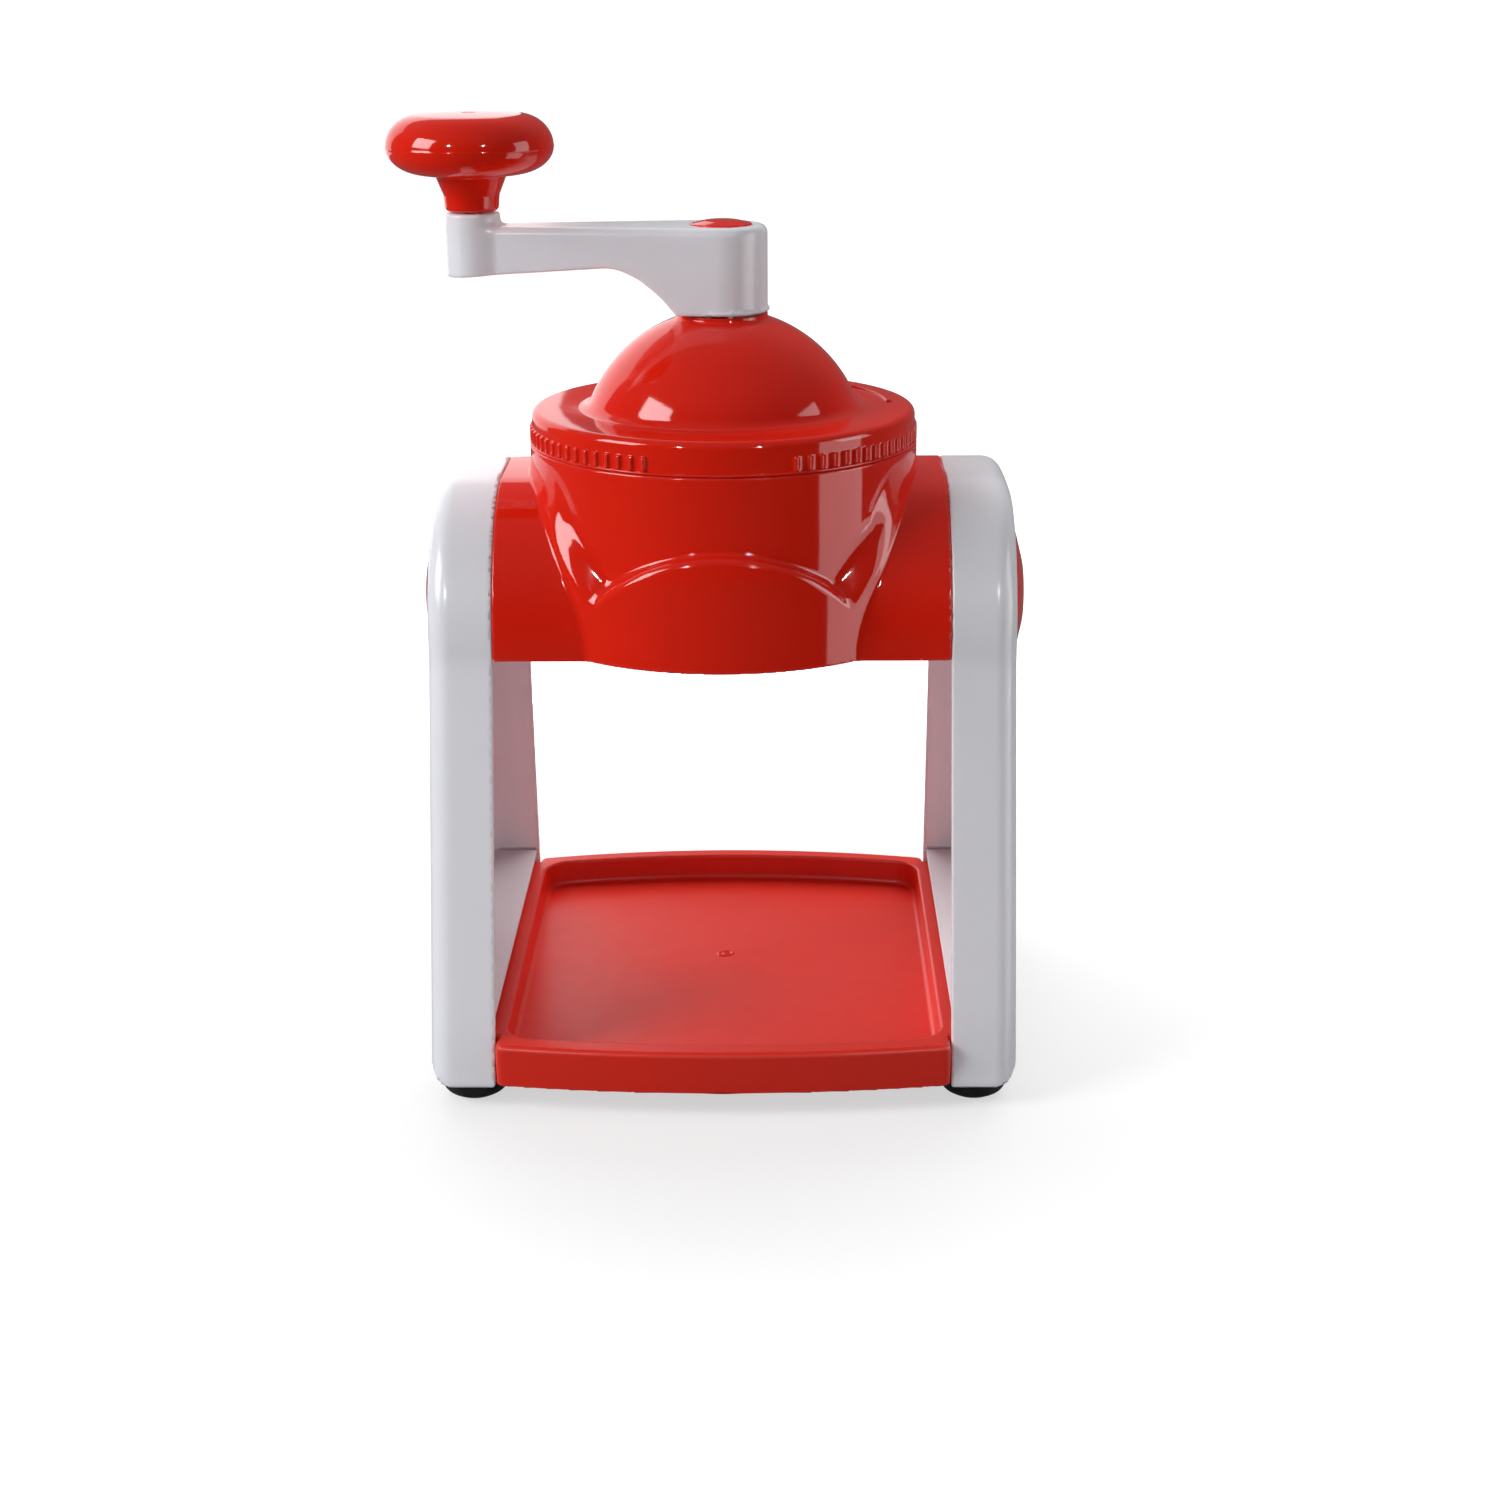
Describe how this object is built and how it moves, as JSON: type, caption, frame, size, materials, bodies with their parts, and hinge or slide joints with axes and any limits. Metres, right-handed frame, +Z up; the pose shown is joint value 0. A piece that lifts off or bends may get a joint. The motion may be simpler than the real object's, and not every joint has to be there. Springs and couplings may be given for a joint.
{
  "type": "hand-cranked shaved ice machine",
  "caption": "Tabletop ice shaver: side panels carry a hopper with a blade plate over a cup tray; the lift-off lid holds a crank, shaft and spring-loaded spiked ice gripper.",
  "frame": {"origin": "middle of the box that the machine fills, on the table top under the feet", "axes": "+Z up; the open front with the tray's bow looks along -Y; the crank at rest points along -X"},
  "size_m": [0.2288, 0.2026, 0.3352],
  "materials": {
    "red_plastic": "gloss",
    "white_plastic": "gloss",
    "black_rubber": "matte",
    "stainless_steel": "brushed",
    "plated_steel": "zinc plated",
    "natural_nylon": "satin"
  },
  "bodies": {
    "stand": {"left_side_panel": "white_plastic", "right_side_panel": "white_plastic", "base_tray": "red_plastic", "foot_front_left": "black_rubber", "foot_front_right": "black_rubber", "foot_rear_left": "black_rubber", "foot_rear_right": "black_rubber", "side_washers": "plated_steel", "side_screws": "plated_steel", "left_side_cap": "red_plastic", "right_side_cap": "red_plastic", "tray_screws": "plated_steel", "hopper_body": "red_plastic", "blade_plate": "stainless_steel", "blade": "stainless_steel", "plate_screws": "plated_steel", "blade_screws": "plated_steel", "blade_nuts": "plated_steel"},
    "lid": {"lid": "red_plastic", "neck_bush": "natural_nylon"},
    "crank": {"crank_arm": "white_plastic", "crank_cap": "red_plastic", "crank_screw": "plated_steel", "crank_washer": "plated_steel", "drive_shaft": "stainless_steel", "spring_seat": "plated_steel", "end_washer": "plated_steel", "end_screw": "plated_steel", "knob_pin": "stainless_steel", "gripper_spring": "plated_steel"},
    "knob": {"knob": "red_plastic"},
    "gripper": {"gripper_plate": "white_plastic", "gripper_spikes": "stainless_steel"}
  },
  "joints": [
    {"name": "lid_lift", "type": "slide", "parent": "stand", "child": "lid", "axis": [0, 0, 1], "range_m": [0, 0.12]},
    {"name": "crank_turn", "type": "hinge", "parent": "lid", "child": "crank", "pos_m": [0.0033, 0.0057, 0.27], "axis": [0, 0, 1], "continuous": true},
    {"name": "knob_spin", "type": "hinge", "parent": "crank", "child": "knob", "pos_m": [-0.0849, 0.0057, 0.31], "axis": [0, 0, 1], "continuous": true},
    {"name": "gripper_slide", "type": "slide", "parent": "crank", "child": "gripper", "axis": [0, 0, 1], "range_m": [0, 0.03], "stiffness_N_per_m": 150, "springref_m": -0.01, "deforming": ["gripper_spring"]}
  ]
}
